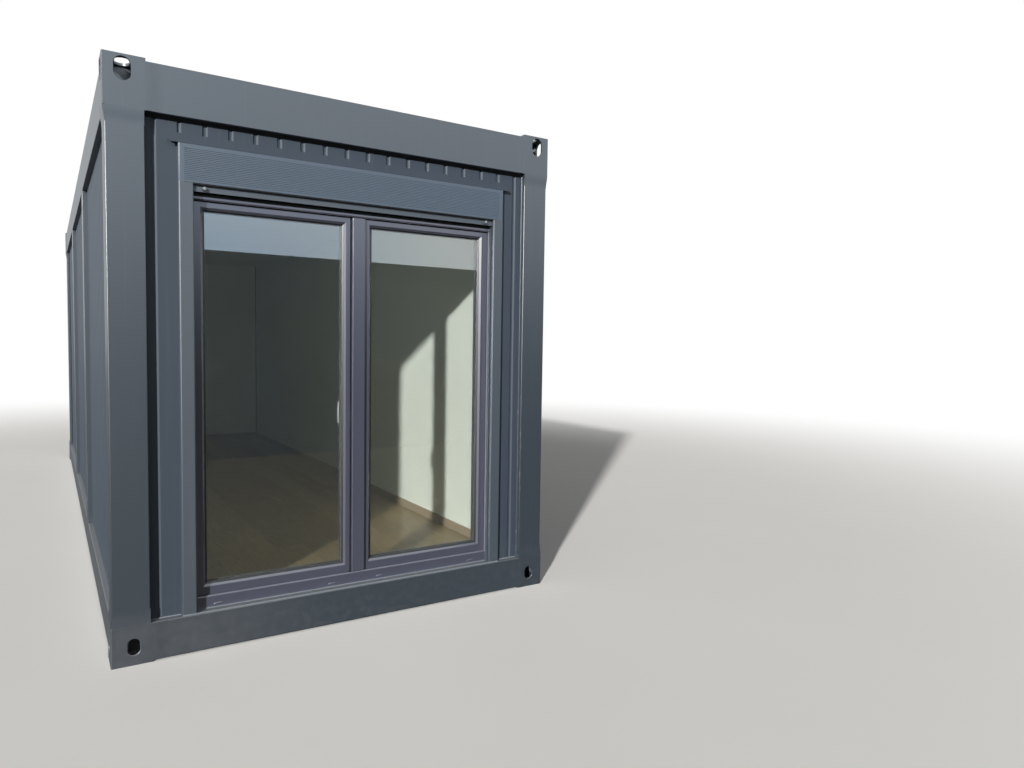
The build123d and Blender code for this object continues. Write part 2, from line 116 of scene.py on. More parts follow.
class CabinFinish(bpy.types.PropertyGroup):
    """Colours of the cabin's finishes."""

    frame_paint: colour("Frame paint", "Paint of the posts, rails and corner fittings", "#2A3641")
    panel_coat: colour("Panel coat", "Coil coating of the wall panels", "#36414E")
    box_coat: colour("Box coat", "Powder coat of the shutter box", "#3E4F61")
    guide_coat: colour("Guide coat", "Powder coat of the shutter's guides and curtain", "#38434F")
    door_foil: colour("Door foil", "Foil on the door's plastic profiles", "#474A5C")
    # This black also paints shade where the head strips, the head rebate strip and the brushes
    # stand.
    seal: colour("Seals", "Rubber of the door's seals", "#0C0D0F")
    dust: colour("Dust", "Dust that lies on the cabin", "#76777A")
    inner_white: colour("Inner walls", "Coating of the inner walls and the ceiling", "#F6FBF3")
    plank: colour("Floor planks", "Vinyl planks of the floor", "#9E8B68")
    skirting: colour("Skirting", "Foil of the skirting", "#9F907A")
    roof_coat: colour("Roof coat", "Coated roof sheet", "#7C8286")
    # The gasket's pale grey also paints a highlight along the inner edge of the door frame's lip.
    gasket: colour("Gasket", "Grey gasket on the inner edge of the door frame's lip", "#7C7B88")
    sealant: colour("Sealant", "Sealant along the foot of the front wall", "#7C848C")
    bright: colour("Bare aluminium", "Aluminium of the shutter's stops", "#8F9498")


class CabinTrim(bpy.types.PropertyGroup):
    """Sizes of the small trim."""

    edge: length("Edge radius", "Radius of the folded and cast edges of the steel frame", 2.8)
    foil_edge: length("Foil edge radius", "Radius of the edges of the door's plastic profiles", 2.0)
    fill_reach: length("Filler reach", "How far a joint's filler runs from a corner fitting", 70.0)
    side_lip: length("Side lip", "Visible width of the door frame at its sides", 67.0)
    foot_lip: length("Foot lip", "Visible height of the door frame at its foot", 62.0)
    head_lip: length("Head lip", "Visible height of the door frame at its head", 67.0)
    lip_thickness: length("Lip thickness", "Thickness of the door frame's lip", 15.0)
    # Black rubber strips under the top rails of the end walls, which paint the shade of that joint
    # black.
    head_shade_strip_out: length("Head shade strip depth", "How far the seal over the end walls stands out", 20.0)
    head_shade_strip_drop: length("Head shade strip height", "Height of the seal over the end walls", 16.0)
    sealant_width: length("Sealant width", "Width of a line of sealant", 7.0)
    seal_width: length("Seal width", "Width of a glazing seal", 4.0)
    seal_height: length("Seal height", "How far a glazing seal stands out of the bead", 2.5)
    pane: length("Pane", "Thickness of one pane of a sealed unit", 4.0)
    cap_length: length("Drain cap length", "Length of a drain cap on the door frame", 44.0)
    cap_width: length("Drain cap width", "Width of a drain cap on the door frame", 12.0)
    screw: length("Screw head", "Radius of a screw head", 4.5)


class CabinStage(bpy.types.PropertyGroup):
    """Camera and light of the studio."""

    lens: FloatProperty(
        name="Lens", description="Focal length of the camera", default=25.4925, unit="CAMERA",
        min=1.0,
    )
    floor: colour("Floor", "Colour of the studio floor", "#F7F6F3")
    key: FloatProperty(
        name="Key light", description="Strength of the low light from the front left",
        default=4.3, min=0.0,
    )
    spread: FloatProperty(
        name="Key spread", description="Angle that the key light fills, which softens its shadows",
        default=math.radians(2.2), unit="ROTATION",
    )
    sky: FloatProperty(
        name="Sky", description="Strength of the soft light from all round", default=0.19, min=0.0
    )
    flag_height: length("Flag height", "Height of the dark screen in front of the glass", 2660.0)


# Meshes


def quads(rows, columns, wrap_rows=False, wrap_columns=False):
    """Faces of a grid of points, as rows by columns; a wrapped side joins its end to its start."""
    row = np.arange(rows if wrap_rows else rows - 1)[:, None]
    column = np.arange(columns if wrap_columns else columns - 1)[None, :]
    here = row * columns
    there = (row + 1) % rows * columns
    beside = (column + 1) % columns
    faces = np.stack([here + column, here + beside, there + beside, there + column], -1)
    return faces.reshape(-1, 4).tolist()


def joined(shapes):
    """Several shapes, each as points and faces, as one."""
    points, faces = [], []
    for own_points, own_faces in shapes:
        start = sum(len(p) for p in points)
        points.append(np.asarray(own_points).reshape(-1, 3))
        faces += [[corner + start for corner in face] for face in own_faces]
    return np.concatenate(points), faces


def upright_ring(profile, low_x, high_x, low_z, high_z, front_y):
    """A closed profile carried round an upright rectangle, mitred at its corners: a point moves in
    from both sides of its corner by the profile's first number and back from front_y by its
    second."""
    corners = np.array([[low_x, low_z], [high_x, low_z], [high_x, high_z], [low_x, high_z]])
    inward = np.array([[1, 1], [-1, 1], [-1, -1], [1, -1]])
    profile = np.asarray(profile, float)
    flat = corners[:, None, :] + inward[:, None, :] * profile[None, :, :1]
    depth = np.broadcast_to(front_y + profile[None, :, 1:], flat[..., :1].shape)
    points = np.concatenate([flat[..., :1], depth, flat[..., 1:]], -1)
    return points.reshape(-1, 3), quads(4, len(profile), True, True)


def pane_slab(low, high, arris):
    """A flat pane with ground edges: four loops round its rectangle, the middle two full size and
    the front and back ones drawn in by the arris, closed by a face at each end."""
    inset = np.array([arris, 0.0, 0.0, arris])
    depth = np.array([low[1], low[1] + arris, high[1] - arris, high[1]])
    corner_x = np.array([low[0], high[0], high[0], low[0]])
    corner_z = np.array([low[2], low[2], high[2], high[2]])
    x = corner_x[None, :] + inset[:, None] * np.array([1, -1, -1, 1])
    z = corner_z[None, :] + inset[:, None] * np.array([1, 1, -1, -1])
    y = np.broadcast_to(depth[:, None], x.shape)
    faces = quads(4, 4, False, True) + [[0, 1, 2, 3], [15, 14, 13, 12]]
    return np.stack([x, y, z], -1).reshape(-1, 3), faces


def bead(start, end, across, out, width, height, ripple):
    """A half-round bead along a straight joint: at each step along it a half circle is stretched to
    the width and the height, swells and shrinks by the ripple as the sum of two sine waves, 8 mm
    and about 20 mm long, and shrinks as a square root toward both ends."""
    start, end, across, out = (np.asarray(v, float) for v in (start, end, across, out))
    span = np.linalg.norm(end - start)
    step, sides = 2.0 * MM, 7
    count = max(int(span / step), 6)
    share = np.linspace(0.0, 1.0, count)
    turn = np.linspace(0.0, math.pi, sides)
    run = share * span
    short, long, long_share = math.pi / (4.0 * MM), 311.0, 0.4
    wave = 1.0 + ripple * (np.sin(run * short) + long_share * np.sin(run * long))
    size = wave * np.clip(np.minimum(run, span - run) / width * 2.0, 0.02, 1.0) ** 0.5
    line = start + share[:, None] * (end - start)
    offset = np.cos(turn)[:, None] * across * width / 2 + np.sin(turn)[:, None] * out * height
    points = line[:, None, :] + size[:, None, None] * offset[None, :, :]
    return points.reshape(-1, 3), quads(count, sides, False, True)


def filler(start, end, across, out, reach, height, under):
    """Filler along a straight joint beside a proud face: from that face's height it falls as half a
    cosine wave over its reach, and its first part lies under the proud face's rounded edge."""
    start, end, across, out = (np.asarray(v, float) for v in (start, end, across, out))
    steps, buried = 10, 0.5 * MM
    share = np.linspace(0.0, 1.0, steps)
    fall = height * 0.5 * (1.0 + np.cos(math.pi * share))
    offset = (share * (reach + under) - under)[:, None] * across + fall[:, None] * out
    offset = np.concatenate([offset, (-under * across)[None, :] - buried * out])
    points = np.stack([start, end])[:, None, :] + offset[None, :, :]
    count = len(offset)
    caps = [list(range(count)), list(range(2 * count - 1, count - 1, -1))]
    return points.reshape(-1, 3), quads(2, count, False, True) + caps


def domes(centres, normal, along, half_long, half_wide, height, power=2.5, rings=5, sides=20):
    """Low caps on a flat face: each is a superellipse of the two half sizes that shrinks as the
    cosine of a quarter turn while it rises as the sine, to a small flat over its centre."""
    centres = np.asarray(centres, float).reshape(-1, 3)
    normal, along = np.asarray(normal, float), np.asarray(along, float)
    wide = np.cross(normal, along)
    lift = np.linspace(0.0, math.pi / 2, rings)
    turn = np.arange(sides) * 2 * math.pi / sides
    round_cos = np.sign(np.cos(turn)) * np.abs(np.cos(turn)) ** (2 / power)
    round_sin = np.sign(np.sin(turn)) * np.abs(np.sin(turn)) ** (2 / power)
    spread = np.clip(np.cos(lift), 0.02, 1.0)[:, None, None]
    edge = round_cos[:, None] * along * half_long + round_sin[:, None] * wide * half_wide
    cap = spread * edge[None, :, :] + np.sin(lift)[:, None, None] * normal * height
    faces = quads(rings, sides, False, True)
    faces += [list(range(sides - 1, -1, -1)), list(range((rings - 1) * sides, rings * sides))]
    return joined([(centre + cap, faces) for centre in centres])


def piece(name, shape, material, body, smooth=30.0):
    """Make a mesh object of a shape, with outward faces, and let it ride on a body."""
    points, faces = shape
    mesh = bpy.data.meshes.new(name)
    mesh.from_pydata(np.asarray(points).tolist(), [], faces)
    work = bmesh.new()
    work.from_mesh(mesh)
    bmesh.ops.recalc_face_normals(work, faces=work.faces)
    work.to_mesh(mesh)
    work.free()
    mesh.polygons.foreach_set("use_smooth", np.ones(len(mesh.polygons), bool))
    mesh.set_sharp_from_angle(angle=math.radians(smooth))
    mesh.materials.append(material)
    made = bpy.data.objects.new(name, mesh)
    bpy.context.scene.collection.objects.link(made)
    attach(made, body)
    return made


def finish_nodes(names, material):
    """Give the material to every slot of the named CAD nodes."""
    for name in names:
        mesh = NODES[name].data
        if not mesh.materials:
            mesh.materials.append(material)
        for number in range(len(mesh.materials)):
            mesh.materials[number] = material


def round_edges(names, radius):
    """Join the triangles of the named CAD nodes and round their sharp edges."""
    for name in names:
        joint = NODES[name].modifiers.new("joined", "WELD")
        joint.merge_threshold = 0.02 * MM
        edge = NODES[name].modifiers.new("rounded", "BEVEL")
        edge.width = radius
        edge.segments = 3
        edge.limit_method = "ANGLE"
        edge.angle_limit = math.radians(35.0)
        edge.harden_normals = True


# Materials


def add(tree, kind, inputs=None, **settings):
    """Add a node with its settings; inputs gives a socket its value or the output that feeds it."""
    node = tree.nodes.new(kind)
    for name, value in settings.items():
        setattr(node, name, value)
    for key, value in (inputs or {}).items():
        if isinstance(value, bpy.types.NodeSocket):
            tree.links.new(value, node.inputs[key])
        else:
            node.inputs[key].default_value = value
    return node


def new_material(name):
    """An empty node material and its tree."""
    material = bpy.data.materials.new(name)
    material.use_nodes = True
    material.node_tree.nodes.clear()
    return material, material.node_tree


def surface(tree, shader):
    """Send a shader to the material's output."""
    add(tree, "ShaderNodeOutputMaterial", {"Surface": shader.outputs[0]})


def coated(material, base, roughness, relief=None, **more):
    """Give a material its colour, its roughness and its relief. An IOR over 1.5 stands for a coat
    with more sheen than plain paint."""
    inputs = {"Base Color": base, "Roughness": roughness, **more}
    if relief is not None:
        inputs["Normal"] = relief
    surface(material.node_tree, add(material.node_tree, "ShaderNodeBsdfPrincipled", inputs))
    return material


def shade(tone, factor):
    """A colour made lighter or darker by a factor."""
    return tuple(min(channel * factor, 1.0) for channel in tuple(tone)[:3]) + (1.0,)


def noise(tree, vector, size_mm, detail=2.0, stretch=(1.0, 1.0, 1.0)):
    """Noise whose blobs have that size in millimetres, longer along an axis by its stretch."""
    scale = tuple(per_metre(size_mm * s) for s in stretch)
    mapped = add(tree, "ShaderNodeMapping", {"Vector": vector, "Scale": scale}).outputs[0]
    inputs = {"Vector": mapped, "Scale": 1.0, "Detail": detail}
    return add(tree, "ShaderNodeTexNoise", inputs).outputs["Fac"]


def ramp(tree, value, low, high, to_low=0.0, to_high=1.0):
    """A value that runs from one number to the other while the input runs from low to high."""
    return add(
        tree, "ShaderNodeMapRange",
        {"Value": value, "From Min": low, "From Max": high, "To Min": to_low, "To Max": to_high},
        interpolation_type="SMOOTHSTEP",
    ).outputs[0]


def maths(tree, operation, first, second=0.0):
    """Two values put together by one operation, or one value changed by it."""
    return add(tree, "ShaderNodeMath", {0: first, 1: second}, operation=operation).outputs[0]


def product(tree, first, *others):
    """Values multiplied with one another."""
    for other in others:
        first = maths(tree, "MULTIPLY", first, other)
    return first


def axis(tree, vector, name):
    """One coordinate of a vector."""
    return add(tree, "ShaderNodeSeparateXYZ", {0: vector}).outputs[name]


def mixed(tree, share, first, second):
    """Two colours mixed by a share."""
    inputs = {0: share, 6: first, 7: second}
    return add(tree, "ShaderNodeMix", inputs, data_type="RGBA").outputs[2]


def bumped(tree, height, strength, depth_mm):
    """A relief that follows a height, at that strength and that depth in millimetres."""
    inputs = {"Height": height, "Strength": strength, "Distance": depth_mm * MM}
    return add(tree, "ShaderNodeBump", inputs).outputs[0]


def object_place(tree):
    """The point on the surface, in metres in the cabin's frame, and its height."""
    place = add(tree, "ShaderNodeTexCoord").outputs["Object"]
    return place, axis(tree, place, "Z")


def weathered(tree, place, height, tone, finish, streaks, splash):
    """A coat's colour with clouding, rain streaks, dust on upward faces and splashed dirt near the
    ground, and how dusty each spot is."""
    clean = mixed(tree, noise(tree, place, 420.0, 3.0), shade(tone, 0.93), shade(tone, 1.07))
    run = noise(tree, place, 22.0, 3.0, (1.0, 1.0, 40.0))
    run = ramp(tree, run, 0.52, 0.78, 0.0, streaks)
    normal = add(tree, "ShaderNodeNewGeometry").outputs["Normal"]
    upward = ramp(tree, axis(tree, normal, "Z"), 0.5, 0.95, 0.0, 0.35)
    low = ramp(tree, height, 0.0, 0.45, 1.0, 0.0)
    spots = ramp(tree, noise(tree, place, 35.0, 4.0), 0.42, 0.68, 0.15, 1.0)
    low = product(tree, low, spots, splash)
    dusty = maths(tree, "MAXIMUM", maths(tree, "MAXIMUM", run, upward), low)
    return mixed(tree, dusty, clean, tuple(finish.dust)), dusty


def frame_paint(finish):
    """Two-part frame paint, rolled and sprayed on welded steel: satin, with a faint orange peel,
    dull where dust lies, scratched near the ground, under a film of dust on the left half of the
    foot rails and rubbed pale along the bend of the right posts."""
    material, tree = new_material("Sprayed_frame_paint")
    place, height = object_place(tree)
    across = axis(tree, place, "X")
    base, dusty = weathered(tree, place, height, finish.frame_paint, finish, 0.05, 0.10)
    marked, clean = 150.0 * MM, 240.0 * MM
    # Real scratches are about 0.5 mm wide; they are drawn at 2 mm so that they still show.
    scratch = ramp(tree, noise(tree, place, 2.0, 2.0, (70.0, 70.0, 1.0)), 0.60, 0.72)
    patch = ramp(tree, noise(tree, place, 190.0, 2.0), 0.50, 0.66)
    low = ramp(tree, height, marked, clean, 1.0, 0.06)
    scratch = product(tree, scratch, patch, low, 0.30)
    base = mixed(tree, scratch, base, shade(finish.frame_paint, 2.6))
    left = ramp(tree, across, -950.0 * MM, -100.0 * MM, 0.22, 0.0)
    foot = ramp(tree, height, marked, clean, 1.0, 0.0)
    patchy = ramp(tree, noise(tree, place, 120.0, 4.0), 0.3, 0.6, 0.5, 1.0)
    base = mixed(tree, product(tree, left, foot, patchy), base, tuple(finish.dust))
    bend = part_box("corner_post_front_right")[0][0] + 3.0 * MM
    beside = maths(tree, "ABSOLUTE", maths(tree, "SUBTRACT", across, bend))
    beside = ramp(tree, beside, 2.0 * MM, 12.0 * MM, 1.0, 0.0)
    rubbed = noise(tree, place, 14.0, 4.0, (1.0, 1.0, 3.0))
    rubbed = ramp(tree, rubbed, 0.56, 0.68, 0.0, 0.22)
    rubbed = product(tree, rubbed, beside, ramp(tree, height, 1500.0 * MM, 1200.0 * MM))
    base = mixed(tree, rubbed, base, linear("#B4B9BB"))
    peel, wave = noise(tree, place, 3.0, 1.0), noise(tree, place, 260.0, 1.0)
    relief = bumped(tree, maths(tree, "ADD", product(tree, peel, 0.06), wave), 0.25, 1.2)
    return coated(material, base, ramp(tree, dusty, 0.0, 0.4, 0.42, 0.6), relief, IOR=2.35)


def coil_coat(tree, finish):
    """The colour, roughness and relief of coil-coated sheet: shallow waves from rolling, and rain
    streaks down its flutes."""
    place, height = object_place(tree)
    base, dusty = weathered(tree, place, height, finish.panel_coat, finish, 0.08, 0.10)
    wave = noise(tree, place, 90.0, 1.0, (1.0, 1.0, 9.0))
    return base, ramp(tree, dusty, 0.0, 0.4, 0.62, 0.72), bumped(tree, wave, 0.2, 1.0)


def white_sheet(tree, place, finish):
    """The faintly clouded white of the sheets inside the room."""
    cloud = noise(tree, place, 500.0, 2.0)
    return mixed(tree, cloud, shade(finish.inner_white, 0.96), shade(finish.inner_white, 1.03))


def panel_coat(finish):
    """Coil-coated steel sheet: smoother and duller than the frame's paint."""
    material, tree = new_material("Coil_coated_panel_sheet")
    return coated(material, *coil_coat(tree, finish), IOR=1.6)


def two_sided_panel(finish):
    """A sandwich panel: coil coat on its outer sheet and edges, and the white coat on its inner
    sheet, which lies nearest to the middle of the cabin."""
    material, tree = new_material("Sandwich_panel_two_coats")
    base, rough, relief = coil_coat(tree, finish)
    place, _ = object_place(tree)
    margin = 0.5 * MM
    within = [
        maths(tree, "LESS_THAN", maths(tree, "ABSOLUTE", axis(tree, place, name)), face + margin)
        for name, face in (
            ("X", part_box("side_wall_right")[0][0]), ("Y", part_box("rear_wall")[0][1])
        )
    ]
    base = mixed(tree, product(tree, *within), base, white_sheet(tree, place, finish))
    return coated(material, base, rough, relief, IOR=1.6)


def shutter_coat(name, tone, finish):
    """Powder coat on extruded and roll-formed metal: an even satin coat with very fine grain."""
    material, tree = new_material(name)
    place, height = object_place(tree)
    base, dusty = weathered(tree, place, height, tone, finish, 0.05, 0.08)
    # A real powder grain is about 0.3 mm; it is drawn at 1.5 mm so that it still shows.
    relief = bumped(tree, noise(tree, place, 1.5, 1.0), 0.12, 0.2)
    return coated(material, base, ramp(tree, dusty, 0.0, 0.4, 0.55, 0.7), relief, IOR=2.1)


def door_foil(finish):
    """Embossed foil on white-core plastic profiles: a dark grey with a violet cast and a fine
    upright grain that breaks up the sheen."""
    material, tree = new_material("Embossed_foil_on_plastic")
    place, height = object_place(tree)
    base, dusty = weathered(tree, place, height, finish.door_foil, finish, 0.04, 0.08)
    # The embossing is about 0.5 mm wide; it is drawn at 1.2 mm so that it still shows.
    grain = noise(tree, place, 1.2, 2.0, (1.0, 1.0, 14.0))
    dark = ramp(tree, grain, 0.35, 0.65, 0.0, 0.12)
    base = mixed(tree, dark, base, shade(finish.door_foil, 0.6))
    relief = bumped(tree, grain, 0.1, 0.25)
    return coated(material, base, ramp(tree, dusty, 0.0, 0.4, 0.32, 0.6), relief, IOR=2.45)


def float_glass():
    """Float glass of a sealed unit with its thin metal coating, which makes it mirror more than
    plain glass: clear with a slight green cast. Lamps shine through it, so that the room behind it
    is lit."""
    material, tree = new_material("Float_glass")
    glass = add(
        tree, "ShaderNodeBsdfPrincipled",
        {"Base Color": linear("#FAFDFB"), "Roughness": 0.0, "IOR": 2.1, "Transmission Weight": 1.0},
    )
    clear = add(tree, "ShaderNodeBsdfTransparent", {"Color": linear("#FFFFFF")})
    path = add(tree, "ShaderNodeLightPath").outputs
    lamps = maths(tree, "MAXIMUM", path["Is Shadow Ray"], path["Is Diffuse Ray"])
    inputs = {0: lamps, 1: glass.outputs[0], 2: clear.outputs[0]}
    surface(tree, add(tree, "ShaderNodeMixShader", inputs))
    return material


def bloomed(tree, finish, most):
    """The black of a seal under a patchy bloom of dust."""
    place, _ = object_place(tree)
    bloom = ramp(tree, noise(tree, place, 30.0, 3.0), 0.4, 0.75, 0.0, most)
    return mixed(tree, bloom, tuple(finish.seal), shade(finish.dust, 0.35))


def rubber_for_seals_and_shade(finish):
    """EPDM rubber of the glazing, rebate and head seals, and of the brushes: black, dull, with a
    bloom of dust. On the head strips, the head rebate strip and the brushes this black also paints
    shade."""
    material, tree = new_material("EPDM_rubber_seal_and_shade")
    return coated(material, bloomed(tree, finish, 0.25), 0.62)


def glazing_lip(finish):
    """Soft black lip drawn along the glazing beads: smooth and glossy enough to catch a low sun."""
    material, tree = new_material("Glossy_glazing_lip")
    return coated(material, bloomed(tree, finish, 0.2), 0.38, IOR=1.7)


def gasket_with_painted_highlight(finish):
    """Soft grey gasket of the door frame's lip, with a little dust in it; its pale grey also paints
    a highlight along the lip's inner edge.
    """
    material, tree = new_material("Grey_gasket_painted_highlight")
    place, _ = object_place(tree)
    dust = ramp(tree, noise(tree, place, 25.0, 3.0), 0.45, 0.75, 0.0, 0.3)
    return coated(material, mixed(tree, dust, tuple(finish.gasket), tuple(finish.dust)), 0.5)


def spacer_plastic():
    """Dark grey warm-edge spacer inside a sealed unit, of matt plastic with fine drawn lines."""
    material, tree = new_material("Warm_edge_plastic_spacer")
    place, _ = object_place(tree)
    lines = noise(tree, place, 1.2, 1.0, (1.0, 1.0, 30.0))
    return coated(material, mixed(tree, lines, linear("#34373A"), linear("#43474A")), 0.6)


def inner_coat(finish):
    """White coil-coated sheet inside the room, matt, with faint rolling waves."""
    material, tree = new_material("White_coated_inner_sheet")
    place, _ = object_place(tree)
    relief = bumped(tree, noise(tree, place, 120.0, 1.0, (1.0, 1.0, 6.0)), 0.1, 1.0)
    return coated(material, white_sheet(tree, place, finish), 0.5, relief)


def vinyl_planks(finish):
    """Vinyl planks with a grey-brown oak print: 190 mm wide, 1,220 mm long, laid along the cabin in
    half-bond, each plank of a slightly different tone, with fine grain and thin bevelled joints."""
    material, tree = new_material("Oak_print_vinyl_planks")
    place, _ = object_place(tree)
    turn = {"Vector": place, "Rotation": (0.0, 0.0, math.pi / 2)}
    turned = add(tree, "ShaderNodeMapping", turn).outputs[0]
    plank = tuple(finish.plank)
    bricks = add(
        tree, "ShaderNodeTexBrick",
        {"Vector": turned, "Color1": shade(plank, 0.82), "Color2": shade(plank, 1.18),
         "Mortar": shade(plank, 0.35), "Mortar Size": 0.9 * MM, "Brick Width": 1220.0 * MM,
         "Row Height": 190.0 * MM, "Scale": 1.0},
    ).outputs
    grain = noise(tree, place, 5.0, 4.0, (1.0, 26.0, 1.0))
    knots = noise(tree, place, 60.0, 3.0, (1.0, 6.0, 1.0))
    streak = ramp(tree, grain, 0.35, 0.68, 0.0, 0.75)
    base = mixed(tree, streak, bricks["Color"], shade(plank, 0.5))
    base = mixed(tree, ramp(tree, knots, 0.55, 0.75, 0.0, 0.35), base, shade(plank, 1.45))
    relief = maths(tree, "SUBTRACT", product(tree, grain, 0.4), bricks["Fac"])
    return coated(material, base, 0.42, bumped(tree, relief, 0.35, 0.4))


def skirting_foil(finish):
    """Foil-wrapped skirting with a pale oak print along its length."""
    material, tree = new_material("Oak_print_skirting_foil")
    place, _ = object_place(tree)
    grain = noise(tree, place, 4.0, 3.0, (20.0, 20.0, 1.0))
    pale = shade(finish.skirting, 1.15)
    return coated(material, mixed(tree, grain, shade(finish.skirting, 0.8), pale), 0.5)


def deck_board():
    """Raw edge and underside of the cement-bonded deck board, with pressed chips of 15 mm."""
    material, tree = new_material("Cement_bonded_board")
    place, _ = object_place(tree)
    cells = {"Vector": place, "Scale": per_metre(15.0)}
    tone = axis(tree, add(tree, "ShaderNodeTexVoronoi", cells).outputs["Color"], "X")
    base = mixed(tree, tone, linear("#7E776A"), linear("#A39B8A"))
    return coated(material, base, 0.85, bumped(tree, tone, 0.3, 0.5))


def joist_primer():
    """Zinc-rich primer on the floor joists: flat grey with a few rusty spots."""
    material, tree = new_material("Zinc_primer_on_joists")
    place, _ = object_place(tree)
    rust = ramp(tree, noise(tree, place, 45.0, 5.0), 0.62, 0.74)
    base = mixed(tree, noise(tree, place, 200.0, 2.0), linear("#5A5E60"), linear("#6A6E70"))
    return coated(material, mixed(tree, rust, base, linear("#6E4129")), 0.75)


def roof_coat(finish):
    """Coated roof sheet: pale grey, chalked, with dirt that ponding water left between its ribs."""
    material, tree = new_material("Chalked_roof_sheet")
    place, height = object_place(tree)
    stain = ramp(tree, noise(tree, place, 320.0, 5.0), 0.45, 0.68, 0.0, 0.55)
    cloud = noise(tree, place, 90.0, 2.0)
    base = mixed(tree, cloud, shade(finish.roof_coat, 0.92), tuple(finish.roof_coat))
    valley, rib = CAD_HIGH[2] - 10.0 * MM, CAD_HIGH[2] - 2.0 * MM
    dirt = product(tree, stain, ramp(tree, height, valley, rib, 1.0, 0.3))
    return coated(material, mixed(tree, dirt, base, shade(finish.dust, 0.6)), 0.6)


def white_plastic():
    """Glossy white moulded handle with a trace of handling dirt."""
    material, tree = new_material("Moulded_white_handle")
    place, _ = object_place(tree)
    dirt = ramp(tree, noise(tree, place, 14.0, 3.0), 0.55, 0.8, 0.0, 0.3)
    return coated(material, mixed(tree, dirt, linear("#E6E7E4"), linear("#B9B8B0")), 0.25)


def zinc_screws():
    """Bright zinc-plated screw heads, a little clouded."""
    material, tree = new_material("Zinc_plated_screws")
    place, _ = object_place(tree)
    base = mixed(tree, noise(tree, place, 3.0, 2.0), linear("#A9ABA8"), linear("#C9CBC8"))
    return coated(material, base, 0.35, Metallic=1.0)


def sealant_skin(finish):
    """Hand-drawn neutral sealant: grey, soft sheen, uneven in tone."""
    material, tree = new_material("Neutral_sealant")
    place, _ = object_place(tree)
    tone = noise(tree, place, 9.0, 3.0)
    base = mixed(tree, tone, shade(finish.sealant, 0.75), shade(finish.sealant, 1.1))
    return coated(material, base, 0.55, IOR=1.45)


def bare_aluminium(finish):
    """Turned aluminium caps on the shutter's stops, dulled by oxide."""
    material, tree = new_material("Oxidised_aluminium")
    place, _ = object_place(tree)
    tone = noise(tree, place, 4.0, 2.0)
    base = mixed(tree, tone, shade(finish.bright, 0.85), shade(finish.bright, 1.1))
    return coated(material, base, 0.4)


# Pieces


class CABIN_OT_steel_frame(bpy.types.Operator):
    """Paint the posts, rails and corner fittings, round their edges and fill their joints"""

    bl_idname = "cabin.steel_frame"
    bl_label = "Steel frame"

    def execute(self, context):
        finish, trim = context.scene.cabin_finish, context.scene.cabin_trim
        corners = [f"{end}_{side}" for end in ENDS for side in SIDES]
        names = [f"{kind}_corner_fitting_{corner}" for kind in LEVELS for corner in corners]
        names += [f"corner_post_{corner}" for corner in corners]
        names += [f"{kind}_rail_{place}" for kind in LEVELS for place in ENDS + SIDES]
        names += [f"side_posts_{side}" for side in SIDES]
        paint = frame_paint(finish)
        finish_nodes(names, paint)
        round_edges(names, trim.edge)
        joints = [
            joint for end in ENDS for side in SIDES for joint in self.corner_joints(end, side, trim)
        ]
        piece("joint_filler", joined(joints), paint, CABIN, smooth=60.0)
        return {"FINISHED"}

    def corner_joints(self, end, side, trim):
        """Filled joints where a corner's post and rails meet its two fittings, on the outer faces:
        the filler is nearly as high as the fitting's step over the face."""
        right, rear = int(side == "right"), int(end == "rear")
        out_x, out_y = np.array(ACROSS) * (2 * right - 1), np.array(FRONT) * (1 - 2 * rear)
        up = np.array(UP)
        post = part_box(f"corner_post_{end}_{side}")
        face_x, inner_x = post[right][0], post[1 - right][0]
        face_y, inner_y = post[rear][1], post[1 - rear][1]
        step_x, step_y = abs(CAD_HIGH[0]) - abs(face_x), abs(CAD_HIGH[1]) - abs(face_y)
        less, inset = 0.3 * MM, 2.5 * MM
        joints = []
        for level, away in ((post[0][2], up), (post[1][2], -up)):
            corner = face_x, face_y, level
            joints.append(((inner_x, face_y, level), corner, away, out_y, step_y))
            joints.append(((face_x, inner_y, level), corner, away, out_x, step_x))
        for kind in LEVELS:
            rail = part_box(f"{kind}_rail_{end}")
            x, low, high = rail[right][0], rail[0][2] + inset, rail[1][2] - inset
            joints.append(((x, face_y, low), (x, face_y, high), -out_x, out_y, step_y))
            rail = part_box(f"{kind}_rail_{side}")
            y, low, high = rail[rear][1], rail[0][2] + inset, rail[1][2] - inset
            joints.append(((face_x, y, low), (face_x, y, high), -out_y, out_x, step_x))
        return [
            filler(*ends, away, out, trim.fill_reach, step - less, trim.edge)
            for *ends, away, out, step in joints
        ]


